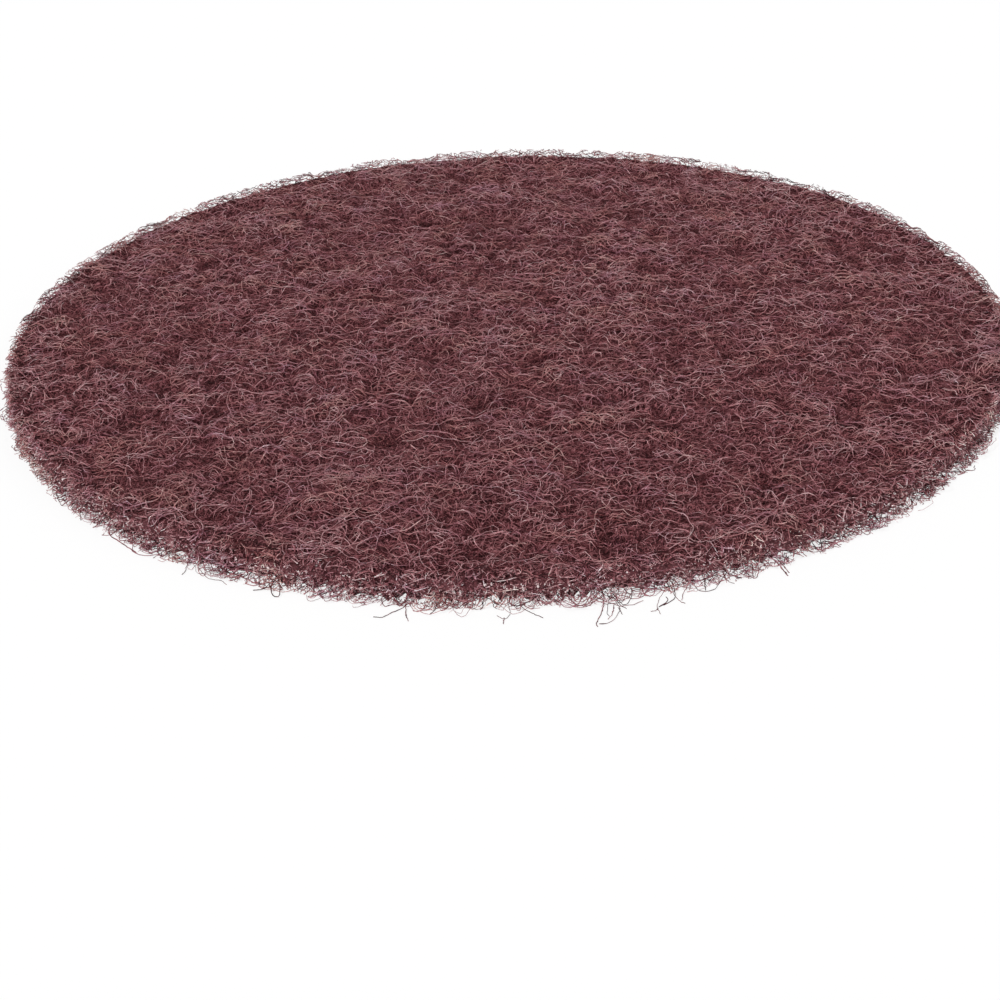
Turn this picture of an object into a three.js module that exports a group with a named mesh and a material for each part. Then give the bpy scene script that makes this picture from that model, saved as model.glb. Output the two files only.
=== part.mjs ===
import * as THREE from "three";

// Floor polishing pad: one die-cut disc of lofted, curled fibre, lying flat.
// Millimetres, +Z up. The origin is the centre of the flat underside.

// Driving dimensions of the disc
const DIAMETER = 432;
const THICKNESS = 15;
const EDGE_ROUNDING = 2.5;

// Relief of the open top: hollows between broad clumps, with smaller knots of fibre on them
const CLUMP_WIDTH = 24;
const CLUMP_DEPTH = 2.4;
const KNOT_WIDTH = 9;
const KNOT_DEPTH = 1.6;

// Share of that relief left at the rim, and how far in it fades to that
const RIM_RELIEF = 0.5;
const RIM_FADE = 16;

// Flat middle that a pad driver presses on
const DRIVER_SPOT_DIAMETER = 32;
const DRIVER_SPOT_FADE = 12;

// Ragged wall left by the die, with tufts of fibre that stand out of it
const WALL_ROUGHNESS = 1.3;
const WALL_ROWS = 5;
const TUFTS = 34;
const TUFT_LENGTH = 3.2;

// Fineness of the surface, with its points scattered by a share of their spacing
const TOP_SPACING = 7.6;
const WALL_SPACING = 5.6;
const UNDERSIDE_SPACING = 30;
const POINT_SCATTER = 0.22;
const TUFT_SCATTER = 0.8;

// One random pattern for each use
const SEEDS = { clumps: 1, knots: 2, tufts: 3, edge: 4, wall: 5, topX: 6, topY: 7 };

const COLOUR = 0x633e40;
const ROUGHNESS = 0.95;

const { lerp, smoothstep } = THREE.MathUtils;

const RADIUS = DIAMETER / 2;
const FLAT_RADIUS = RADIUS - EDGE_ROUNDING;

// A repeatable random number from 0 to 1 for each pair of whole numbers
function scatter(i, j, seed) {
  const wave = Math.sin(i * 127.1 + j * 311.7 + seed * 74.7) * 43758.5453;
  return wave - Math.floor(wave);
}

// Smooth random hills from 0 to 1, each about one width across
function hills(x, y, width, seed) {
  const column = Math.floor(x / width);
  const row = Math.floor(y / width);
  const across = smoothstep(x / width - column, 0, 1);
  const along = smoothstep(y / width - row, 0, 1);
  const near = lerp(scatter(column, row, seed), scatter(column + 1, row, seed), across);
  const far = lerp(scatter(column, row + 1, seed), scatter(column + 1, row + 1, seed), across);
  return lerp(near, far, along);
}

// Height of the top surface: hollows between the clumps and knots, none at the driver's spot
function topHeight(x, y) {
  const radius = Math.hypot(x, y);
  const spotRadius = DRIVER_SPOT_DIAMETER / 2;
  const fromSpot = smoothstep(radius, spotRadius, spotRadius + DRIVER_SPOT_FADE);
  const share = fromSpot * lerp(1, RIM_RELIEF, smoothstep(radius, FLAT_RADIUS - RIM_FADE, FLAT_RADIUS));
  const betweenClumps = CLUMP_DEPTH * hills(x, y, CLUMP_WIDTH, SEEDS.clumps);
  const betweenKnots = KNOT_DEPTH * hills(x, y, KNOT_WIDTH, SEEDS.knots);
  return THICKNESS - share * (betweenClumps + betweenKnots);
}

// The skin is a stack of rings, from the underside's centre out, up the wall and in over the top
const points = [];
const faces = [];
const rings = [];

function pointCount(radius, spacing) {
  return Math.max(6, Math.round((2 * Math.PI * radius) / spacing));
}

function addRing(count, place) {
  rings.push({ first: points.length / 3, count });
  for (let step = 0; step < count; step += 1) {
    points.push(...place((2 * Math.PI * step) / count, step));
  }
}

function addFace(a, b, c) {
  if (a !== b && b !== c && c !== a) {
    faces.push(a, b, c);
  }
}

// Closes the gap between two neighbouring rings, whatever their numbers of points
function addBand(ring, next) {
  let here = 0;
  let there = 0;
  while (here < ring.count || there < next.count) {
    const a = ring.first + (here % ring.count);
    const b = next.first + (there % next.count);
    const stepsHere = (here + 1) / ring.count <= (there + 1) / next.count;
    if (stepsHere) {
      here += 1;
      addFace(a, ring.first + (here % ring.count), b);
    } else {
      there += 1;
      addFace(a, next.first + (there % next.count), b);
    }
  }
}

function addUnderside() {
  addRing(1, () => [0, 0, 0]);
  const steps = Math.floor(FLAT_RADIUS / UNDERSIDE_SPACING);
  for (let step = 1; step < steps; step += 1) {
    const radius = (FLAT_RADIUS * step) / steps;
    addRing(pointCount(radius, UNDERSIDE_SPACING), (angle) => [
      radius * Math.cos(angle),
      radius * Math.sin(angle),
      0,
    ]);
  }
}

// Chosen points of the wall carry a tuft, spread evenly round it and over its rows
function tuftAt(count) {
  const places = new Map();
  for (let tuft = 0; tuft < TUFTS; tuft += 1) {
    const step = Math.floor((count * (tuft + TUFT_SCATTER * scatter(tuft, 1, SEEDS.tufts))) / TUFTS);
    const row = 1 + Math.floor((WALL_ROWS - 1) * scatter(tuft, 2, SEEDS.tufts));
    const length = lerp(TUFT_LENGTH / 2, TUFT_LENGTH, scatter(tuft, 3, SEEDS.tufts));
    places.set(`${row} ${step}`, length);
  }
  return places;
}

// The wall is rounded over at both edges, rough between them, and flat where it meets the floor
function addWall() {
  const count = pointCount(RADIUS, WALL_SPACING);
  const tufts = tuftAt(count);
  const rimHeight = (angle) => topHeight(FLAT_RADIUS * Math.cos(angle), FLAT_RADIUS * Math.sin(angle));
  const edgePoint = (outward, heightAt) => (angle, step) => {
    const radius = FLAT_RADIUS + outward - (WALL_ROUGHNESS / 2) * scatter(step, 0, SEEDS.edge);
    return [radius * Math.cos(angle), radius * Math.sin(angle), heightAt(angle)];
  };
  addRing(count, edgePoint(0, () => 0));
  for (let row = 0; row <= WALL_ROWS; row += 1) {
    addRing(count, (angle, step) => {
      const tuft = tufts.get(`${row} ${step}`) ?? 0;
      const radius = RADIUS - WALL_ROUGHNESS * scatter(step, row, SEEDS.wall) + tuft;
      const height = lerp(EDGE_ROUNDING, rimHeight(angle) - EDGE_ROUNDING, row / WALL_ROWS);
      return [radius * Math.cos(angle), radius * Math.sin(angle), height];
    });
  }
  const slope = Math.SQRT1_2 * EDGE_ROUNDING;
  addRing(count, edgePoint(slope, (angle) => rimHeight(angle) - EDGE_ROUNDING + slope));
}

function addTop() {
  const steps = Math.round(FLAT_RADIUS / TOP_SPACING);
  for (let step = steps; step > 0; step -= 1) {
    const radius = (FLAT_RADIUS * step) / steps;
    const spread = step < steps ? POINT_SCATTER * TOP_SPACING : 0;
    addRing(pointCount(radius, TOP_SPACING), (angle, index) => {
      const x = radius * Math.cos(angle) + spread * (scatter(index, step, SEEDS.topX) - 0.5);
      const y = radius * Math.sin(angle) + spread * (scatter(index, step, SEEDS.topY) - 0.5);
      return [x, y, topHeight(x, y)];
    });
  }
  addRing(1, () => [0, 0, topHeight(0, 0)]);
}

function padGeometry() {
  addUnderside();
  addWall();
  addTop();
  for (let index = 1; index < rings.length; index += 1) {
    addBand(rings[index - 1], rings[index]);
  }
  const geometry = new THREE.BufferGeometry();
  geometry.setAttribute("position", new THREE.Float32BufferAttribute(points, 3));
  geometry.setIndex(faces);
  geometry.computeVertexNormals();
  return geometry;
}

const fibreWeb = new THREE.MeshStandardMaterial({
  color: COLOUR,
  roughness: ROUGHNESS,
  metalness: 0,
  flatShading: true,
});

const pad = new THREE.Mesh(padGeometry(), fibreWeb);
pad.name = "polishing_pad";

const model = new THREE.Group();
model.add(pad);

export default model;
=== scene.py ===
import math

import bpy
import numpy as np
from mathutils import Matrix, Vector
from mathutils.bvhtree import BVHTree


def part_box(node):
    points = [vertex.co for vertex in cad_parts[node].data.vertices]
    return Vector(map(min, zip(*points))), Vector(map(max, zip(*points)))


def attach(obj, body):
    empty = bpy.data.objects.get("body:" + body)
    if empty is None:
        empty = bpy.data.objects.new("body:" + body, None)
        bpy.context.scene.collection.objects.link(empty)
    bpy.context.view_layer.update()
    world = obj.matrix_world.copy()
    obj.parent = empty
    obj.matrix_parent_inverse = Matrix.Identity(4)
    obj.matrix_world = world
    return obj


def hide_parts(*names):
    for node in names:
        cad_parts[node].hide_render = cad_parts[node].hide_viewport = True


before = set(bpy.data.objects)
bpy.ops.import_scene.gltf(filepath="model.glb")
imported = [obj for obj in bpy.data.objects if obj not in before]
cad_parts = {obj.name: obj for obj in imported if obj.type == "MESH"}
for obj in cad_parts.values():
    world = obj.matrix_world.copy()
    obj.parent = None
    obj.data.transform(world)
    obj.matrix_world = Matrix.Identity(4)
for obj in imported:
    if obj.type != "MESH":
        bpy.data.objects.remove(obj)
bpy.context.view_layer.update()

# Floor polishing pad: thin tubes of curled fibre over a dense inner web, in metres

# The die-cut disc, from the box of the CAD solid, whose tufts stand a little past the disc
pad_low, pad_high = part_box("polishing_pad")
TUFT_REACH = 0.0014
RADIUS = (pad_high[0] - pad_low[0]) / 2 - TUFT_REACH
THICKNESS = pad_high[2] - pad_low[2]
EDGE_ROUNDING = 0.0025
ROUNDING_SHARE = 0.98

# The web's open top follows the solid's hollows, a little above its skin, with small pits of its own
LOFT = 0.0008
PIT_WIDTH, PIT_DEPTH = 0.0065, 0.0022
PIT_START, PIT_FLOOR = 0.58, 0.85

# Square grid on which the solid's top is measured, and how far inside the rounded edge it ends
GRID_STEP = 0.003
GRID_INSET = 0.001
GRID_RADIUS = RADIUS - EDGE_ROUNDING - GRID_INSET

# The ragged wall that the die leaves, with its grain so many times wider than it is tall
WALL_ROUGHNESS = 0.0012
WALL_GRAIN, GRAIN_FLATNESS = 0.006, 2
CUT_SPREAD = 0.0005

# Pale clumps and dark gaps in the wall
CLUMP_WIDTH, CLUMP_FLATNESS = 0.007, 3

# How far loose fibres spread out of the wall at the floor, from which height down, and in what clumps
FLARE = 0.0032
FLARE_TOP = 0.006
FLARE_CLUMP_WIDTH = 0.010
FLARE_CLUMP_START, FLARE_CLUMP_FULL = 0.15, 0.85

# Random patterns: the size of their grid, where on it the wall starts, and a seed for each
PATTERN_GRID = 128
PATTERN_START = 1.0
PATTERN_SEEDS = {"wall": 3, "clumps": 4, "pits": 5, "flare": 9}

# Fibres: one is a tube of three sides, with a nodule of resin here and there
SIDES = 3
FIBRE_RADIUS = 0.00016
RADIUS_PER_FIBRE, RADIUS_PER_POINT = (0.65, 1.35), (0.85, 1.15)
NODULE_SHARE = 0.05
NODULE_SWELL = 1.7
CURL_MEMORY = 0.006
LOWEST = 3 * FIBRE_RADIUS
SHORTEST = 1e-6

# Layout of a tube's end faces in UV: room for them beside the sides, and their corners in a cell
CAP_ROOM = 0.6
CAP_U, CAP_V = np.array([0.1, 0.9, 0.1]), np.array([0.1, 0.1, 0.5])

# Tone: the largest share of open light, and the spread between the fibres of the wall
MOST_OPEN = 1.3
WALL_TONE_SPREAD = 0.24

# Painted shade: depths between which the top's fibres go from pale to dark, and how much a hollow adds to
# them
SHADE_START, SHADE_DEPTH = 0.0012, 0.0027
HOLLOW_SHARE = 0.35

# Painted light: between these distances from the rim the top's fibres get paler, and differ more
RIM_LIGHT_START, RIM_LIGHT_FULL = 0.026, 0.006
RIM_LIGHT_LIFT, RIM_LIGHT_CONTRAST, RIM_LIGHT_MIDDLE = 0.20, 0.30, 0.65

# Camera: a fit of the disc's outline in the photograph, with lengths in radii of the disc
CAMERA_DISTANCE = 4.0
CAMERA_ELEVATION = math.radians(24.91)
CAMERA_AIM = (-0.0227, -0.6457)
CAMERA_ROLL = math.radians(-2.17)
FOCAL_SHARE = 1.9508
SENSOR_MM = 36.0
CLIP_START = 0.01

# Studio: strength of the world's light, and the floor's size, colour and share of plain white
WORLD_LIGHT = 0.31
WHITE = 1.0
FLOOR_HALF = 6.0
FLOOR_GREY = 0.9
FLOOR_WHITE_SHARE = 0.80


def eased(share):
    return share * share * (3 - 2 * share)


def smooth_step(value, start, end):
    return eased(np.clip((value - start) / (end - start), 0, 1))


def blended(grid, i, j, across, along):
    """Value between four neighbours of a square grid, which repeats."""
    size = len(grid)
    i, j, next_i, next_j = i % size, j % size, (i + 1) % size, (j + 1) % size
    near = grid[i, j] * (1 - across) + grid[next_i, j] * across
    far = grid[i, next_j] * (1 - across) + grid[next_i, next_j] * across
    return near * (1 - along) + far * along


def smooth_hills(x, y, width, pattern):
    """Smooth random hills from 0 to 1, each about one width across."""
    grid = np.random.default_rng(PATTERN_SEEDS[pattern]).random((PATTERN_GRID, PATTERN_GRID))
    u, v = x / width, y / width
    i, j = np.floor(u).astype(int), np.floor(v).astype(int)
    return blended(grid, i, j, eased(u - i), eased(v - j))


def solid_tops():
    """Heights of the CAD solid's top on a square grid."""
    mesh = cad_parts["polishing_pad"].data
    tree = BVHTree.FromPolygons([v.co for v in mesh.vertices], [tuple(p.vertices) for p in mesh.polygons])
    above, down = 1, Vector((0, 0, -1))
    half = math.ceil(RADIUS / GRID_STEP) + 1
    heights = np.zeros((2 * half + 1, 2 * half + 1))
    for i in range(2 * half + 1):
        for j in range(2 * half + 1):
            x, y = (i - half) * GRID_STEP, (j - half) * GRID_STEP
            share = min(1, GRID_RADIUS / max(math.hypot(x, y), GRID_STEP))
            hit = tree.ray_cast(Vector((x * share, y * share, above)), down)
            heights[i, j] = hit[0].z
    return heights


SOLID_TOPS = solid_tops()


def solid_top(x, y):
    """Height of the CAD solid's top, and at the rim that of the nearest place inside it."""
    share = np.minimum(1, GRID_RADIUS / np.maximum(np.hypot(x, y), GRID_STEP))
    half = len(SOLID_TOPS) // 2
    u, v = x * share / GRID_STEP + half, y * share / GRID_STEP + half
    i, j = np.floor(u).astype(int), np.floor(v).astype(int)
    return blended(SOLID_TOPS, i, j, u - i, v - j)


def web_top(x, y, pit_share=1.0):
    """Height of the web's open top: the solid's hollows, small pits and the rounding at the rim."""
    inset = np.clip((np.hypot(x, y) - (RADIUS - EDGE_ROUNDING)) / EDGE_ROUNDING, 0, 1)
    rounding = EDGE_ROUNDING * (1 - np.sqrt(1 - inset**2 * ROUNDING_SHARE))
    pit = smooth_step(smooth_hills(x, y, PIT_WIDTH, "pits"), PIT_START, PIT_FLOOR)
    return np.minimum(THICKNESS, solid_top(x, y) + LOFT) - pit_share * PIT_DEPTH * pit - rounding


def wall_hills(angle, z, width, pattern):
    """Random hills from 0 to 1 round the wall."""
    return smooth_hills(angle * RADIUS + PATTERN_START, z, width, pattern)


def cut_radius(angle, z):
    """Radius of the ragged die-cut wall."""
    return RADIUS - WALL_ROUGHNESS * wall_hills(angle, z * GRAIN_FLATNESS, WALL_GRAIN, "wall")


def flare_clumps(angle):
    """From 0 to 1, how thickly the loose fibres stand at each angle round the wall."""
    hills = wall_hills(angle, 0 * angle, FLARE_CLUMP_WIDTH, "flare")
    return smooth_step(hills, FLARE_CLUMP_START, FLARE_CLUMP_FULL)


def flare_height(z):
    """How much the loose fibres spread at each height: 1 at the floor, 0 above the flare."""
    return smooth_step(FLARE_TOP - z, 0, FLARE_TOP)


def wall_clumps(angle, z):
    """From -0.5 to 0.5, the dark gaps and pale clumps of the wall, wider than they are tall."""
    return wall_hills(angle, z * CLUMP_FLATNESS, CLUMP_WIDTH, "clumps") - 0.5


def inside_disc(paths, slack):
    """Which steps of each path lie inside the ragged die-cut wall."""
    r = np.hypot(paths[..., 0], paths[..., 1])
    angle = np.arctan2(paths[..., 1], paths[..., 0])
    inside = r < cut_radius(angle, paths[..., 2]) + slack
    return inside[:, :-1] & inside[:, 1:]


def spots_in_disc(rng, count, inner, outer):
    """Random places between two radii, evenly over the area."""
    r = np.sqrt(rng.uniform(inner**2, outer**2, count))
    angle = rng.uniform(0, 2 * math.pi, count)
    return np.stack([r * np.cos(angle), r * np.sin(angle)], axis=1)


def curled_paths(rng, start, heading, steps, step, curl):
    """Flat paths of fibres whose bend drifts from side to side, centred on their starts."""
    count = len(start)
    curls = rng.uniform(*curl, count)
    memory = np.exp(-step[:, 0] / CURL_MEMORY)
    bend = rng.normal(0, 1, count)
    headings = []
    for _ in range(steps):
        bend = memory * bend + np.sqrt(1 - memory**2) * rng.normal(0, 1, count)
        heading = heading + bend * curls * step[:, 0]
        headings.append(heading)
    headings = np.stack(headings, axis=1)
    moves = step[..., None] * np.stack([np.cos(headings), np.sin(headings)], axis=2)
    far = np.cumsum(moves, axis=1)
    paths = start[:, None, :] + np.concatenate([np.zeros((count, 1, 2)), far], axis=1)
    return paths - 0.5 * far[:, -1:, :]


def waves(rng, step, points, height, period):
    """Rise and fall of each fibre along its length, from 0 to a height of its own."""
    count = len(step)
    along = np.arange(points) * step
    heights = rng.uniform(*height, (count, 1))
    periods = rng.uniform(*period, (count, 1))
    phases = rng.uniform(0, 2 * math.pi, (count, 1))
    return heights * (0.5 + 0.5 * np.sin(2 * math.pi * along / periods + phases))


def slant_and_bow(rng, count, s, slant, bow):
    """How far each fibre drifts along its length: aside at its tip, and bowed in its middle."""
    slants = rng.normal(0, slant, (count, 1)) * s
    return slants + rng.normal(0, bow, (count, 1)) * np.sin(math.pi * s)


def raised(flat, z):
    """Flat paths with their heights."""
    return np.concatenate([flat, z[..., None]], axis=2)


def round_paths(r, theta, z):
    """Paths from their radii, angles and heights."""
    return np.stack([r * np.cos(theta), r * np.sin(theta), z], axis=2)


def smooth_curve(points, steps, fineness=12):
    """A smooth curve through the given points, cut into steps of one length."""
    ends = np.vstack([2 * points[0] - points[1], points, 2 * points[-1] - points[-2]])
    t = np.linspace(0, 1, fineness, endpoint=False)[:, None]
    dense = [
        0.5 * (2 * b + (c - a) * t + (2 * a - 5 * b + 4 * c - d) * t**2 + (3 * b - 3 * c + d - a) * t**3)
        for a, b, c, d in zip(ends, ends[1:], ends[2:], ends[3:])
    ]
    dense = np.vstack([*dense, points[-1:]])
    along = np.concatenate([[0], np.cumsum(np.linalg.norm(np.diff(dense, axis=0), axis=1))])
    even = np.linspace(0, along[-1], steps + 1)
    return np.stack([np.interp(even, along, column) for column in dense.T], axis=1)


def placed(name, data):
    """A new object of the given data, in the scene."""
    thing = bpy.data.objects.new(name, data)
    bpy.context.collection.objects.link(thing)
    return thing


def unit(vectors):
    return vectors / np.maximum(np.linalg.norm(vectors, axis=2, keepdims=True), SHORTEST)


def tube_rings(rng, paths, thickness):
    """A ring of corners round each point of each path."""
    count, points, _ = paths.shape
    tangents = unit(np.gradient(paths, axis=1))
    sideways = unit(np.cross(tangents, [0.0, 0.0, 1.0]))
    upwards = np.cross(sideways, tangents)
    radius = FIBRE_RADIUS * thickness * rng.uniform(*RADIUS_PER_FIBRE, (count, 1))
    radius = radius * rng.uniform(*RADIUS_PER_POINT, (count, points))
    radius = np.where(rng.random((count, points)) < NODULE_SHARE, radius * NODULE_SWELL, radius)
    turn = rng.uniform(0, 2 * math.pi, (count, 1, 1))
    angles = turn + 2 * math.pi * np.arange(SIDES) / SIDES
    across = (radius[:, :, None] * np.cos(angles))[..., None] * sideways[:, :, None, :]
    up = (radius[:, :, None] * np.sin(angles))[..., None] * upwards[:, :, None, :]
    return paths[:, :, None, :] + across + up


def tube_uvs(kept, starts, ends):
    """UV corners of the tubes: a fibre is a strip of steps by sides, and the strips stand in columns."""
    count, steps = kept.shape
    room = SIDES + CAP_ROOM
    columns = max(1, round(math.sqrt(room * count / steps)))
    rows = math.ceil(count / columns)
    wide, tall = 1 / (columns * steps), 1 / (rows * room)
    fibre = np.arange(count)
    left = (fibre % columns)[:, None, None] * steps * wide + np.arange(steps)[None, :, None] * wide
    base = (fibre // columns)[:, None, None] * room * tall + np.arange(SIDES)[None, None, :] * tall
    left, base = np.broadcast_arrays(left, base)
    quad_u = np.stack([left, left + wide, left + wide, left], axis=-1)[kept]
    quad_v = np.stack([base, base, base + tall, base + tall], axis=-1)[kept]
    cap_left = np.concatenate([left[starts][:, 0], left[ends][:, 0]])
    cap_base = np.concatenate([base[starts][:, 0], base[ends][:, 0]]) + SIDES * tall
    us = np.concatenate([quad_u.ravel(), (cap_left[:, None] + wide * CAP_U).ravel()])
    vs = np.concatenate([quad_v.ravel(), (cap_base[:, None] + tall * CAP_V).ravel()])
    return np.stack([us, vs], axis=1)


def fibre_mesh(name, rng, paths, kept, tone, thickness=1.0):
    """One closed tube for each kept run of each path, in one mesh, with a tone for each point."""
    rings = tube_rings(rng, paths, thickness)
    index = np.arange(rings[..., 0].size).reshape(rings.shape[:3])
    here, there = index[:, :-1], index[:, 1:]
    quads = [here, there, np.roll(there, -1, axis=2), np.roll(here, -1, axis=2)]
    quads = np.stack(quads, axis=-1)[kept].reshape(-1, 4)
    nothing = np.zeros((len(kept), 1), bool)
    starts = kept & ~np.concatenate([nothing, kept[:, :-1]], axis=1)
    ends = kept & ~np.concatenate([kept[:, 1:], nothing], axis=1)
    caps = np.concatenate([here[starts], there[ends][:, ::-1]])
    corners = np.concatenate([quads.ravel(), caps.ravel()])
    sizes = np.concatenate([np.full(len(quads), 4), np.full(len(caps), SIDES)])
    used = np.unique(corners)
    renumber = np.zeros(index.size, np.int32)
    renumber[used] = np.arange(len(used))
    mesh = bpy.data.meshes.new(name)
    mesh.vertices.add(len(used))
    mesh.vertices.foreach_set("co", rings.reshape(-1, 3)[used].astype(np.float32).ravel())
    mesh.loops.add(len(corners))
    mesh.loops.foreach_set("vertex_index", renumber[corners])
    mesh.polygons.add(len(sizes))
    mesh.polygons.foreach_set("loop_start", (np.cumsum(sizes) - sizes).astype(np.int32))
    layer = mesh.uv_layers.new(name="OFBake")
    layer.data.foreach_set("uv", tube_uvs(kept, starts, ends).astype(np.float32).ravel())
    tones = np.broadcast_to(tone[:, :, None], index.shape).reshape(-1)[used]
    mesh.attributes.new("tone", "FLOAT", "POINT").data.foreach_set("value", tones.astype(np.float32))
    mesh.update(calc_edges=True)
    mesh.validate()
    mesh.shade_smooth()
    return placed(name, mesh)


def own_tone(rng, count, shade, own_share=0.3):
    """Tone of each point of each fibre: its own random share, and how open to the light it lies."""
    return own_share * rng.random((count, 1)) + (1 - own_share) * np.clip(shade, 0, MOST_OPEN)


def top_shade(flat, z):
    """How open to the light the top's fibres lie: 1 in the open, and less between and below others."""
    open_top = web_top(flat[..., 0], flat[..., 1], 0)
    hidden = open_top - z + HOLLOW_SHARE * (THICKNESS - open_top)
    shade = 1 - (hidden - SHADE_START) / SHADE_DEPTH
    # Painted light near the rim, laid over the painted shade by depth
    near_rim = smooth_step(np.hypot(flat[..., 0], flat[..., 1]), RADIUS - RIM_LIGHT_START, RADIUS - RIM_LIGHT_FULL)
    return np.minimum(1, shade + near_rim * (RIM_LIGHT_LIFT + RIM_LIGHT_CONTRAST * (shade - RIM_LIGHT_MIDDLE)))


def top_fibres(name, seed, count, steps, length, sunk, lift, pit_share, thickness):
    """One layer of the curled fibres over the top, with the ranges by which they are sunk and wave."""
    step_range, curl, wave_length, own_share = (0.85, 1.15), (110, 350), (0.007, 0.015), 0.36
    rng = np.random.default_rng(seed)
    step = rng.uniform(*step_range, (count, 1)) * length / steps
    start = spots_in_disc(rng, count, 0, RADIUS)
    flat = curled_paths(rng, start, rng.uniform(0, 2 * math.pi, count), steps, step, curl)
    below = rng.uniform(*sunk, (count, 1)) + waves(rng, step, steps + 1, lift, wave_length)
    z = web_top(flat[..., 0], flat[..., 1], pit_share) - below
    paths = raised(flat, z)
    kept = inside_disc(paths, rng.normal(0, CUT_SPREAD, (count, 1)))
    tone = own_tone(rng, count, top_shade(flat, z), own_share)
    return fibre_mesh(name, rng, paths, kept, tone, thickness)


def under_fibres(name, seed, count):
    """Thick, flat fibres on the underside, darker the higher they lie."""
    steps, step_range, curl, thickness = 12, (0.0024, 0.0032), (60, 220), 1.4
    layer, lift, wave_length = 0.0010, (0.0, 0.0008), (0.010, 0.026)
    rng = np.random.default_rng(seed)
    step = rng.uniform(*step_range, (count, 1))
    start = spots_in_disc(rng, count, 0, RADIUS)
    flat = curled_paths(rng, start, rng.uniform(0, 2 * math.pi, count), steps, step, curl)
    z = LOWEST + rng.uniform(0, layer, (count, 1)) + waves(rng, step, steps + 1, lift, wave_length)
    paths = raised(flat, z)
    kept = inside_disc(paths, rng.normal(0, CUT_SPREAD, (count, 1)))
    # Painted shade: the higher a fibre lies under the pad, the darker
    tone = own_tone(rng, count, 1 - z / SHADE_DEPTH)
    return fibre_mesh(name, rng, paths, kept, tone, thickness)


def rim_fibres(name, seed, count):
    """Fibres that lie along the wall, in the layers that the web was laid in."""
    steps, step_range, curl, turned = 8, (0.0013, 0.0021), (90, 340), 0.8
    inner, outer = RADIUS - 0.0050, RADIUS + 0.0012
    layers, layer_spread = 6, 0.28
    lift, wave_length, sunk = (0.0003, 0.0018), (0.006, 0.016), 0.0006
    flare_share, cut_place, cut_spread = 0.6, 0.0002, 0.0006
    # Tone, with painted light at the wall and painted shade inwards and up the wall: at the wall, how fast
    # it darkens inwards, how much and where it darkens upwards, and in clumps
    open_shade, shade_inset = 1.14, 0.0060
    upper_shade, upper_start, upper_end = 0.20, 0.006, 0.013
    clump_contrast, own_share = 1.5, 0.4
    rng = np.random.default_rng(seed)
    step = rng.uniform(*step_range, (count, 1))
    start = spots_in_disc(rng, count, inner, outer)
    tangent = np.arctan2(start[:, 1], start[:, 0]) + math.pi / 2
    flat = curled_paths(rng, start, tangent + rng.normal(0, turned, count), steps, step, curl)
    layer = rng.integers(0, layers, (count, 1)) + 0.5 + rng.normal(0, layer_spread, (count, 1))
    z = layer / layers * THICKNESS + waves(rng, step, steps + 1, lift, wave_length) - sunk
    z = np.clip(z, LOWEST, web_top(flat[..., 0], flat[..., 1]))
    paths = raised(flat, z)
    flare = flare_share * FLARE * flare_height(z) * rng.random((count, 1))
    kept = inside_disc(paths, rng.normal(cut_place, cut_spread, (count, 1)) + flare)
    r = np.hypot(flat[..., 0], flat[..., 1])
    angle = np.arctan2(flat[..., 1], flat[..., 0])
    shade = open_shade - (RADIUS - r) / shade_inset - upper_shade * smooth_step(z, upper_start, upper_end)
    shade = shade + clump_contrast * wall_clumps(angle, z)
    tone = own_tone(rng, count, shade, own_share) + rng.normal(0, WALL_TONE_SPREAD, (count, 1))
    return fibre_mesh(name, rng, paths, kept, tone)


def cut_ends(name, seed, count):
    """Short ends of fibre that the die left standing out of the wall, paler where they are cut, with painted
    shade at their roots.
    """
    steps, thickness, crowding = 3, 0.85, 1.35
    root, reach, longest, flare_share, flare_reach = 0.0030, 0.0006, 0.0013, 0.7, 0.3
    slide_slant, slide_bow, rise_slant, rise_bow, past_top = 0.0019, 0.0007, 0.0010, 0.0006, 0.0003
    # Tone: painted shade at the root, what the tip adds, what the clumps add, and the painted light that the
    # ends near the floor get
    root_shade, tip_shade, clump_contrast, own_share = 0.38, 0.70, 1.3, 0.45
    floor_light, floor_height = 0.2, 0.005
    # Painted glints: pale tips on some ends, most of them low on the wall
    glint_share, glint_top, glint_fade, glint_tone = 0.22, 0.012, 0.009, 1.6
    rng = np.random.default_rng(seed)
    s = np.linspace(0, 1, steps + 1)
    angle = rng.uniform(0, 2 * math.pi, (count, 1))
    start_z = rng.uniform(0, 1, (count, 1)) ** crowding * THICKNESS
    flare = flare_share * FLARE * flare_clumps(angle) * flare_height(start_z)
    reaches = rng.exponential(reach + flare_reach * flare, (count, 1)) - reach
    r = RADIUS - root + (root + np.clip(reaches, None, longest + flare)) * s
    theta = angle + slant_and_bow(rng, count, s, slide_slant, slide_bow) / RADIUS
    rise = slant_and_bow(rng, count, s, rise_slant, rise_bow)
    top = web_top(r * np.cos(theta), r * np.sin(theta)) + past_top
    paths = round_paths(r, theta, np.clip(start_z + rise, LOWEST, top))
    shade = root_shade + tip_shade * s[None, :] ** 2 + clump_contrast * wall_clumps(angle, start_z)
    shade = shade + floor_light * smooth_step(floor_height - start_z, 0, floor_height)
    tone = own_tone(rng, count, shade, own_share) + rng.normal(0, WALL_TONE_SPREAD, (count, 1))
    glints = rng.random((count, 1)) < glint_share * smooth_step(glint_top - start_z, 0, glint_fade)
    tone[:, -1:] = np.where(glints, glint_tone, tone[:, -1:])
    return fibre_mesh(name, rng, paths, np.ones((count, steps), bool), tone, thickness)


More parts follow.
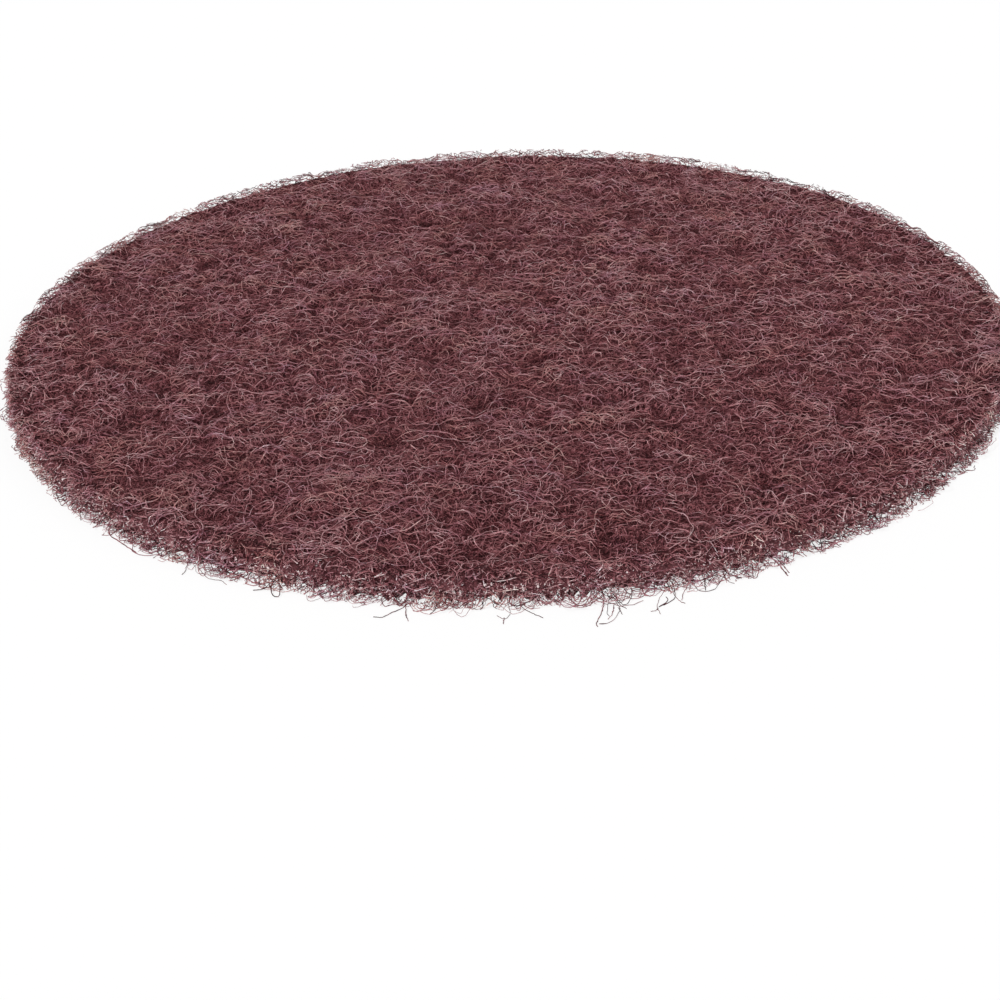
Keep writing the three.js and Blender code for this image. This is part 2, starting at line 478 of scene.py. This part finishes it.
def fringe_loops(name, seed, count):
    """Thin loops of fibre that spread out of the wall near the floor, in clumps."""
    steps, thickness, tries = 8, 0.82, 4
    root, reach, shortest, longest = 0.0028, 0.33 * FLARE, 0.0002, 1.4 * FLARE
    sparse, in_clumps, sparse_reach, clump_reach = 0.15, 0.85, 0.5, 0.7
    closed, ripple = (0.55, 1.0), 0.0003
    width_range, base_width, start_low, drop = (0.8, 3.2), 0.0018, 0.0005, (-0.2, 1)
    open_shade, own_share = 0.75, 0.6
    rng = np.random.default_rng(seed)
    s = np.linspace(0, 1, steps + 1)
    angle = rng.uniform(0, 2 * math.pi, (tries * count, 1))
    chosen = rng.random((tries * count, 1)) < sparse + in_clumps * flare_clumps(angle)
    angle = angle[chosen][:count, None]
    reaches = np.clip(rng.exponential(reach, (count, 1)), shortest, longest)
    reaches = reaches * (sparse_reach + clump_reach * flare_clumps(angle))
    out = np.sin(math.pi * s * rng.uniform(*closed, (count, 1)))
    r = RADIUS - root + (root + reaches) * out + rng.normal(0, ripple, (count, steps + 1))
    width = rng.uniform(*width_range, (count, 1)) * (base_width + reaches) * rng.choice([-1, 1], (count, 1))
    theta = angle + (width * (s - 0.5) + rng.normal(0, ripple, (count, steps + 1))) / RADIUS
    start_z = rng.uniform(start_low, FLARE_TOP, (count, 1))
    z = np.clip(start_z * (1 - out * rng.uniform(*drop, (count, 1))), LOWEST, THICKNESS)
    tone = own_tone(rng, count, np.full((count, steps + 1), open_shade), own_share)
    paths = round_paths(r, theta, z)
    return fibre_mesh(name, rng, paths, np.ones((count, steps), bool), tone, thickness)


def stray_fibres(name, seed, count):
    """Loops and ends of fibre that stand out of the wall, longest at the front."""
    steps, thickness, open_shade = 10, 0.75, 0.6
    root, shortest, longer, front_longer = 0.003, 0.0008, 0.0015, 0.0045
    closed, width_range, base_width = (0.5, 1.0), (0.5, 1.5), 0.002
    wiggle_size, wiggles, wiggle_start = 0.0005, (1, 2.5), (0, 6)
    start_low, start_high, drop_range, lowest = 0.001, THICKNESS - 0.003, (-0.0005, 0.006), 2 * FIBRE_RADIUS
    rng = np.random.default_rng(seed)
    s = np.linspace(0, 1, steps + 1)
    angle = rng.uniform(0, 2 * math.pi, count)[:, None]
    front = (0.5 - 0.5 * np.sin(angle)) ** 4
    reach = shortest + (longer + front_longer * front) * rng.random((count, 1)) ** 3
    out = np.sin(math.pi * s * rng.uniform(*closed, (count, 1)))
    r = RADIUS - root + (root + reach) * out
    width = rng.uniform(*width_range, (count, 1)) * (base_width + reach)
    along = width * (s - 0.5) * rng.choice([-1, 1], (count, 1))
    turns = 2 * math.pi * s * rng.uniform(*wiggles, (count, 1))
    wiggle = wiggle_size * np.sin(turns + rng.uniform(*wiggle_start, (count, 1)))
    theta = angle + (along + wiggle) / RADIUS
    start_z = rng.uniform(start_low, start_high, (count, 1))
    drop = rng.uniform(*drop_range, (count, 1)) * out
    paths = round_paths(r, theta, np.clip(start_z - drop, lowest, THICKNESS))
    tone = own_tone(rng, count, np.full((count, steps + 1), open_shade))
    return fibre_mesh(name, rng, paths, np.ones((count, steps), bool), tone, thickness)


def front_strands(name, seed):
    """The long fibres that lie on the floor in front of the wall, given one by one from the photograph."""
    # Way-points of each fibre: angle round the rim in degrees, and reach past the wall in millimetres
    strands = (
        ((278.0, 1.1), (277.5, 6.7), (277.0, 11.1), (276.7, 13.3), (276.8, 15.3)),
        ((278.8, 0.7), (279.2, 5.1), (279.0, 7.8), (278.3, 12.2), (277.5, 14.2), (276.9, 13.8)),
        ((278.5, 0.4), (278.0, 7.0), (278.0, 10.0)),
        ((278.8, 3.2), (278.4, 8.3), (277.8, 11.7)),
        ((278.1, -0.4), (278.9, 0.8), (279.4, 4.2), (279.8, 6.6)),
        ((279.1, 5.0), (279.2, 9.5)),
        ((280.8, -1.7), (280.6, 0.9), (280.1, 3.4), (279.6, 3.6), (278.9, -0.8)),
        ((283.9, 0.2), (283.1, 2.9), (282.6, 6.4), (282.4, 9.3), (282.4, 12.7)),
        ((282.5, 8.8), (282.1, 10.1), (281.7, 10.0)),
        ((283.7, 2.6), (283.6, 5.5), (282.5, 8.3), (283.5, 6.4), (284.4, 4.5), (284.7, 0.5)),
        ((284.5, -1.7), (284.5, 3.5), (284.7, 7.0), (285.0, 8.6)),
        ((286.2, -0.5), (285.4, 2.6), (284.9, 6.3)),
        ((286.6, -1.2), (286.9, 2.5), (287.5, 3.9), (288.4, 3.7), (289.5, 0.6), (290.2, -1.7)),
        ((287.8, -1.2), (287.5, 3.4)),
        ((289.9, -1.7), (289.9, 1.7), (290.4, 3.0)),
        ((290.2, -1.2), (291.3, 1.9)),
        ((295.3, -1.3), (295.6, 2.2), (295.4, 6.8)),
        ((295.7, 0.6), (295.8, 5.6)),
        ((293.0, -2.0), (292.4, 2.7), (292.9, 2.4), (293.5, -1.6)),
        ((260.7, -2.5), (259.5, 2.2), (258.8, 4.6), (258.1, 8.1), (257.3, 8.3)),
        ((259.7, -2.8), (260.0, 4.1), (260.5, 9.4)),
        ((262.8, 0.4), (262.5, 2.5), (262.2, 4.3)),
        ((269.2, -0.5), (269.4, 3.0), (269.2, 6.0), (268.8, 7.0), (268.2, 4.9)),
        ((268.9, 6.3), (268.8, 10.1)),
        ((270.4, 1.2), (271.6, 5.0), (272.3, 7.3)),
        ((269.4, 0.2), (270.2, 1.0), (271.6, -1.6)),
        ((215.5, -0.3), (217.4, 2.0), (218.0, 1.6), (217.1, -0.5)),
        ((220.4, -0.8), (221.7, 2.3)),
        ((225.4, -1.9), (226.4, 1.6), (228.5, 2.3), (230.9, 3.4)),
        ((233.6, 0.2), (233.0, 2.6)),
        ((237.0, 0.5), (237.2, 2.8), (237.4, 5.6)),
        ((238.3, 0.5), (240.0, 3.4), (241.3, 2.6), (242.2, 3.9)),
        ((246.4, -0.8), (245.9, 2.0), (245.0, 3.6)),
        ((246.6, 0.7), (247.1, 4.2), (247.8, 3.9), (247.3, -0.7)),
    )
    # An end with less reach than these millimetres goes on into the wall, down to its root
    root, start_near, end_near, mm_per_m = 4.0, 2, 1, 1000
    rise, rise_reach, wobble = 0.0022, 2.5, 0.0001
    steps, thickness, open_shade, own_share = 18, 1.1, 0.12, 0.35
    rng = np.random.default_rng(seed)
    paths = []
    for strand in strands:
        (start_angle, start_reach), (end_angle, end_reach) = strand[0], strand[-1]
        first = [(start_angle, -root)] if start_reach < start_near else []
        last = [(end_angle, -root)] if end_reach < end_near else []
        angle, reach = np.array([*first, *strand, *last]).T
        r, theta = RADIUS + reach / mm_per_m, np.radians(angle)
        z = LOWEST + rise * np.clip(1 - reach / rise_reach, 0, 1)
        paths.append(smooth_curve(np.stack([r * np.cos(theta), r * np.sin(theta), z], axis=1), steps))
    paths = np.array(paths)
    paths[..., :2] += rng.normal(0, wobble, paths[..., :2].shape)
    paths[..., 2] = np.maximum(paths[..., 2], LOWEST)
    tone = own_tone(rng, len(paths), np.full(paths.shape[:2], open_shade), own_share)
    return fibre_mesh(name, rng, paths, np.ones((len(paths), steps), bool), tone, thickness)


def band(loop, next_loop):
    """Triangles between two loops of points, whatever their numbers of points."""
    (first, count), (next_first, next_count) = loop, next_loop
    triangles = []
    i = j = 0
    while i < count or j < next_count:
        a, b = first + i % count, next_first + j % next_count
        if (i + 1) / count <= (j + 1) / next_count:
            i += 1
            corners = (a, first + i % count, b)
        else:
            j += 1
            corners = (a, next_first + j % next_count, b)
        if len(set(corners)) == 3:
            triangles.append(corners)
    return triangles


def inner_web(name, seed):
    """The dense middle of the web, seen between the fibres, with a ragged lower edge."""
    rings, spacing, wall_spacing, underside_share = 64, 0.0036, 0.0018, 8
    outer, top_inset = RADIUS - 0.0016, 0.0035
    floor_height, sunk, wobble = 0.0014, 0.0034, 0.0006
    centre_sunk = 1.5 * sunk
    # Each loop of the wall: how far in it lies, its height, how much both vary, its share of cut ends
    wall = (
        (0.0056, floor_height, 0.0010, 0.0004, 0.4),
        (0.0020, 0.0026, 0.0040, 0.0040, 1.0),
        (0.0009, 0.0052, 0.0016, 0.0012, 1.0),
        (0.0003, 0.0078, 0.0012, 0.0008, 1.0),
        (0.0003, 0.0102, 0.0012, 0.0008, 1.0),
        (0.0014, 0.0120, 0.0012, 0.0006, 0.7),
    )
    rng = np.random.default_rng(seed)
    points, cuts, loops = [], [], []

    def add_loop(radius, height, count, in_out=0.0, up_down=0.0, cut=0.0):
        loops.append((len(points), count))
        for i in range(count):
            a = 2 * math.pi * i / count
            r = radius + in_out * (rng.random() - 0.5)
            x, y = r * math.cos(a), r * math.sin(a)
            share = float(solid_top(x, y)) / THICKNESS
            points.append((x, y, share * (height + up_down * (rng.random() - 0.5))))
            cuts.append(cut)

    full = round(2 * math.pi * outer / wall_spacing)
    add_loop(0, floor_height, 1)
    add_loop(outer * 0.5, floor_height, full // underside_share)
    for inset, height, in_out, up_down, cut in wall:
        add_loop(outer - inset, height, full, in_out, up_down, cut)
    for ring in range(rings, 0, -1):
        radius = (outer - top_inset) * ring / rings
        add_loop(radius, 0, max(6, round(2 * math.pi * radius / spacing)))
        first, count = loops[-1]
        for i in range(first, first + count):
            x = points[i][0] + rng.uniform(-wobble, wobble)
            y = points[i][1] + rng.uniform(-wobble, wobble)
            z = float(web_top(np.array(x), np.array(y))) - sunk + rng.uniform(-wobble, wobble)
            points[i] = (x, y, z)
    add_loop(0, THICKNESS - centre_sunk, 1)
    faces = [triangle for pair in zip(loops, loops[1:]) for triangle in band(*pair)]
    mesh = bpy.data.meshes.new(name)
    mesh.from_pydata(points, [], faces)
    mesh.attributes.new("tone", "FLOAT", "POINT").data.foreach_set("value", cuts)
    mesh.validate()
    mesh.shade_smooth()
    return placed(name, mesh)


class Nodes:
    """Short names for building a material's node tree."""

    def __init__(self, name):
        self.material = bpy.data.materials.new(name)
        self.material.use_nodes = True
        self.tree = self.material.node_tree
        self.shader = self.tree.nodes["Principled BSDF"]

    def plug(self, socket, value):
        """Links another node's output to a socket, or sets the socket's own value."""
        if isinstance(value, bpy.types.NodeSocket):
            self.tree.links.new(value, socket)
        elif socket.type == "RGBA":
            socket.default_value = (*value, 1.0)
        else:
            socket.default_value = value

    def add(self, kind, **inputs):
        node = self.tree.nodes.new(kind)
        for key, value in inputs.items():
            self.plug(node.inputs[key.replace("_", " ")], value)
        return node

    def place(self):
        return self.add("ShaderNodeTexCoord").outputs["Object"]

    def moved(self, amount, stretch=(1, 1, 1)):
        """A place in the pad, moved so that each pattern has its own, and stretched."""
        location = (amount, amount * 0.7, amount * 1.3)
        node = self.add("ShaderNodeMapping", Vector=self.place(), Location=location, Scale=stretch)
        return node.outputs["Vector"]

    def tone(self):
        node = self.add("ShaderNodeAttribute")
        node.attribute_name = "tone"
        return node.outputs["Fac"]

    def noise(self, scale, detail=2.0, rough=0.5, vector=None, distortion=0.0):
        node = self.add("ShaderNodeTexNoise", Vector=vector or self.place(), Scale=scale, Detail=detail)
        self.plug(node.inputs["Roughness"], rough)
        self.plug(node.inputs["Distortion"], distortion)
        return node.outputs["Fac"]

    def spread(self, value, from_low, from_high, to_low=0.0, to_high=1.0):
        node = self.add("ShaderNodeMapRange", Value=value, From_Min=from_low, From_Max=from_high)
        self.plug(node.inputs["To Min"], to_low)
        self.plug(node.inputs["To Max"], to_high)
        return node.outputs["Result"]

    def grain(self, scale, detail, low, high):
        """Noise spread from a low to a high value."""
        return self.spread(self.noise(scale, detail), 0.3, 0.7, low, high)

    def maths(self, operation, a, b=0.0):
        node = self.tree.nodes.new("ShaderNodeMath")
        node.operation = operation
        self.plug(node.inputs[0], a)
        self.plug(node.inputs[1], b)
        return node.outputs[0]

    def ramp(self, fac, stops):
        node = self.add("ShaderNodeValToRGB", Fac=fac)
        elements = node.color_ramp.elements
        while len(elements) < len(stops):
            elements.new(0.5)
        for element, (position, colour) in zip(elements, stops):
            element.position = position
            element.color = (*colour, 1.0)
        return node.outputs["Color"]

    def mix(self, factor, a, b, kind="MIX"):
        node = self.tree.nodes.new("ShaderNodeMix")
        node.data_type = "RGBA"
        node.blend_type = kind
        for key, socket_type, value in (("Factor", "VALUE", factor), ("A", "RGBA", a), ("B", "RGBA", b)):
            socket = next(s for s in node.inputs if s.name == key and s.type == socket_type)
            self.plug(socket, value)
        return next(s for s in node.outputs if s.type == "RGBA")

    def tinted(self, share, colour, tint):
        """The colour, multiplied by a tint where the share is high."""
        return self.mix(share, colour, self.mix(1.0, colour, tint, "MULTIPLY"))

    def finish(self, colour, roughness, specular, bump):
        """Puts the looks on the shader."""
        self.plug(self.shader.inputs["Base Color"], colour)
        self.plug(self.shader.inputs["Roughness"], roughness)
        self.plug(self.shader.inputs["Normal"], bump.outputs["Normal"])
        self.shader.inputs["Specular IOR Level"].default_value = specular
        return self.material


def fibre_material(name):
    """Resin-coated fibre: dark deep in the web, pale where it is open to the light or cut."""
    n = Nodes(name)
    # The palest stops, near white, are reached by the painted glints
    stops = [
        (0.045, (0.034, 0.004, 0.006)),
        (0.225, (0.128, 0.026, 0.032)),
        (0.410, (0.332, 0.124, 0.138)),
        (0.615, (0.452, 0.228, 0.243)),
        (0.750, (0.540, 0.336, 0.346)),
        (0.900, (0.640, 0.470, 0.475)),
        (1.000, (0.860, 0.760, 0.760)),
    ]
    ramp_share = 0.75
    along = n.maths("ADD", n.grain(300, 2, -0.14, 0.14), n.grain(1500, 1, -0.20, 0.20))
    colour = n.ramp(n.maths("MULTIPLY", n.maths("ADD", n.tone(), along), ramp_share), stops)
    rusty = n.spread(n.noise(55, 4), 0.48, 0.64, 0.0, 0.85)
    colour = n.tinted(rusty, colour, (1.00, 0.96, 0.85))
    plum = n.spread(n.noise(90, 3, vector=n.moved(3.0)), 0.50, 0.70, 0.0, 0.8)
    colour = n.tinted(plum, colour, (0.86, 0.78, 0.96))
    bump = n.add("ShaderNodeBump", Strength=0.35, Distance=0.0001, Height=n.noise(3500, 2))
    return n.finish(colour, n.grain(900, 2, 0.45, 0.75), 0.28, bump)


def web_material(name):
    """The packed fibres deep in the web, lines laid over each other, and their cut ends at the wall."""
    n = Nodes(name)
    # Painted shade: the ground and the deepest lines are darkest, each layer up paler
    ground = n.ramp(n.noise(70, 3), [(0.3, (0.018, 0.002, 0.003)), (0.7, (0.040, 0.008, 0.010))])
    colour, height = ground, n.maths("MULTIPLY", n.noise(240, 3), 0.8)
    # Each layer of fibres: its place in the pattern, its scale, the width of its lines and its colour
    layers = (
        (0.0, 300, 0.030, (0.060, 0.012, 0.015)),
        (5.0, 420, 0.040, (0.105, 0.027, 0.032)),
        (9.0, 330, 0.034, (0.160, 0.048, 0.055)),
        (14.0, 480, 0.042, (0.230, 0.080, 0.089)),
        (21.0, 290, 0.020, (0.310, 0.124, 0.136)),
    )
    sharp_width, layer_rise = 0.4, 0.03
    for place, scale, width, tint in layers:
        wave = n.noise(scale, 1.0, 0.35, vector=n.moved(place), distortion=0.4)
        ridge = n.maths("ABSOLUTE", n.maths("SUBTRACT", wave, 0.5))
        line = n.spread(ridge, width, width * sharp_width)
        colour = n.mix(line, colour, tint)
        height = n.maths("MAXIMUM", height, n.maths("ADD", line, place * layer_rise))
    # The wall: cut ends, more and paler towards the floor as painted light, the palest near-white specks
    # painted glints
    z = n.add("ShaderNodeSeparateXYZ", Vector=n.place()).outputs["Z"]
    towards_floor = n.spread(z, 0.012, 0.001, -0.05, 0.11)
    laid = n.spread(n.noise(60, 2, vector=n.moved(2.0, (1, 1, 9))), 0.35, 0.6)
    cut = n.mix(laid, ground, (0.13, 0.045, 0.052))
    # Each size of speck: its place in the pattern, its scale and stretch, the noise it starts at, its colour
    specks = (
        (0.0, 420, (1, 1, 1.8), 0.53, (0.13, 0.040, 0.047)),
        (4.0, 560, (1, 1, 1.2), 0.57, (0.26, 0.100, 0.110)),
        (8.0, 700, (1, 1, 1.6), 0.60, (0.46, 0.260, 0.270)),
        (12.0, 600, (1, 1, 0.8), 0.64, (0.84, 0.72, 0.72)),
    )
    speck_edge = 0.05
    for place, scale, stretch, start, tint in specks:
        speck = n.maths("ADD", n.noise(scale, 2, 0.6, vector=n.moved(place, stretch)), towards_floor)
        cut = n.mix(n.spread(speck, start, start + speck_edge), cut, tint)
    bump = n.add("ShaderNodeBump", Strength=0.8, Distance=0.0006, Height=height)
    return n.finish(n.mix(n.tone(), colour, cut), n.grain(500, 2, 0.7, 0.95), 0.12, bump)


def dress(piece, material):
    """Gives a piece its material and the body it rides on."""
    piece.data.materials.append(material)
    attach(piece, "root")


def make_pad():
    fibres = fibre_material("curled_fibre")
    web = web_material("inner_web")
    middle = inner_web("inner_web", 77)
    dress(middle, web)
    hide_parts("polishing_pad")
    # The top's layers from the lowest up: seed, fibres, steps, length, sunk by, wave, pits, thickness
    pieces = [
        top_fibres("top_web_low", 11, 1300, 12, 0.034, (0.0014, 0.0028), (0.0006, 0.0020), 1.0, 1.15),
        top_fibres("top_web_middle", 12, 2220, 14, 0.033, (0.0006, 0.0018), (0.0008, 0.0024), 0.8, 0.92),
        top_fibres("top_web_upper", 20, 1150, 14, 0.032, (0.0002, 0.0012), (0.0008, 0.0024), 0.7, 0.85),
        top_fibres("top_web_high", 13, 2220, 14, 0.031, (-0.0001, 0.0007), (0.0008, 0.0026), 0.6, 0.82),
        under_fibres("under_web", 14, 660),
        rim_fibres("rim_web", 15, 4200),
        cut_ends("cut_ends", 17, 7000),
        fringe_loops("fringe_loops", 18, 1200),
        front_strands("front_strands", 19),
        stray_fibres("stray_fibres", 16, 160),
    ]
    for piece in pieces:
        dress(piece, fibres)


def place_camera():
    distance = CAMERA_DISTANCE * RADIUS
    place = Vector((0, -distance * math.cos(CAMERA_ELEVATION), distance * math.sin(CAMERA_ELEVATION)))
    aim = Vector((CAMERA_AIM[0] * RADIUS, CAMERA_AIM[1] * RADIUS, 0))
    forward = (aim - place).normalized()
    right = forward.cross(Vector((0, 0, 1))).normalized()
    up = right.cross(forward)
    c, s = math.cos(CAMERA_ROLL), math.sin(CAMERA_ROLL)
    right, up = c * right + s * up, c * up - s * right
    data = bpy.data.cameras.new("camera")
    data.sensor_fit = "HORIZONTAL"
    data.sensor_width = SENSOR_MM
    data.lens = FOCAL_SHARE * SENSOR_MM
    data.clip_start = CLIP_START
    camera = placed("camera", data)
    turn = Matrix((right, up, -forward)).transposed()
    camera.matrix_world = Matrix.Translation(place) @ turn.to_4x4()
    bpy.context.scene.camera = camera


def show_to_camera(tree, real, shown, share, surface):
    """The camera sees this share of a second shader, and all other rays meet only the real one."""
    path = tree.nodes.new("ShaderNodeLightPath")
    part = tree.nodes.new("ShaderNodeMath")
    part.operation = "MULTIPLY"
    part.inputs[1].default_value = share
    mix = tree.nodes.new("ShaderNodeMixShader")
    tree.links.new(path.outputs["Is Camera Ray"], part.inputs[0])
    tree.links.new(part.outputs[0], mix.inputs["Fac"])
    tree.links.new(real.outputs[0], mix.inputs[1])
    tree.links.new(shown.outputs[0], mix.inputs[2])
    tree.links.new(mix.outputs[0], surface)


def place_lights():
    # Each sun: its bearing from the camera and its height in degrees, its strength, its width in degrees
    suns = {"key": (-35, 50, 2.75, 8), "fill": (60, 35, 0.8, 50)}
    for name, (azimuth, elevation, strength, width) in suns.items():
        data = bpy.data.lights.new(name, "SUN")
        data.energy = strength
        data.angle = math.radians(width)
        a, e = math.radians(azimuth), math.radians(elevation)
        towards = Vector((math.sin(a) * math.cos(e), -math.cos(a) * math.cos(e), math.sin(e)))
        placed(name, data).rotation_euler = towards.to_track_quat("Z", "Y").to_euler()
    world = bpy.data.worlds.new("studio")
    world.use_nodes = True
    tree = world.node_tree
    light = tree.nodes["Background"]
    backdrop = tree.nodes.new("ShaderNodeBackground")
    for background, strength in ((light, WORLD_LIGHT), (backdrop, WHITE)):
        background.inputs["Color"].default_value = (1, 1, 1, 1)
        background.inputs["Strength"].default_value = strength
    show_to_camera(tree, light, backdrop, 1.0, tree.nodes["World Output"].inputs["Surface"])
    bpy.context.scene.world = world


def place_floor():
    half = FLOOR_HALF
    mesh = bpy.data.meshes.new("floor")
    corners = [(-half, -half, 0), (half, -half, 0), (half, half, 0), (-half, half, 0)]
    mesh.from_pydata(corners, [], [(0, 1, 2, 3)])
    floor = placed("floor", mesh)
    material = bpy.data.materials.new("floor")
    material.use_nodes = True
    tree = material.node_tree
    shader = tree.nodes["Principled BSDF"]
    shader.inputs["Base Color"].default_value = (FLOOR_GREY, FLOOR_GREY, FLOOR_GREY, 1)
    shader.inputs["Roughness"].default_value = 0.9
    shader.inputs["Specular IOR Level"].default_value = 0.0
    glow = tree.nodes.new("ShaderNodeEmission")
    glow.inputs["Strength"].default_value = WHITE
    surface = tree.nodes["Material Output"].inputs["Surface"]
    show_to_camera(tree, shader, glow, FLOOR_WHITE_SHARE, surface)
    mesh.materials.append(material)


place_camera()
place_lights()
place_floor()
make_pad()
bpy.context.scene.view_settings.view_transform = "Standard"
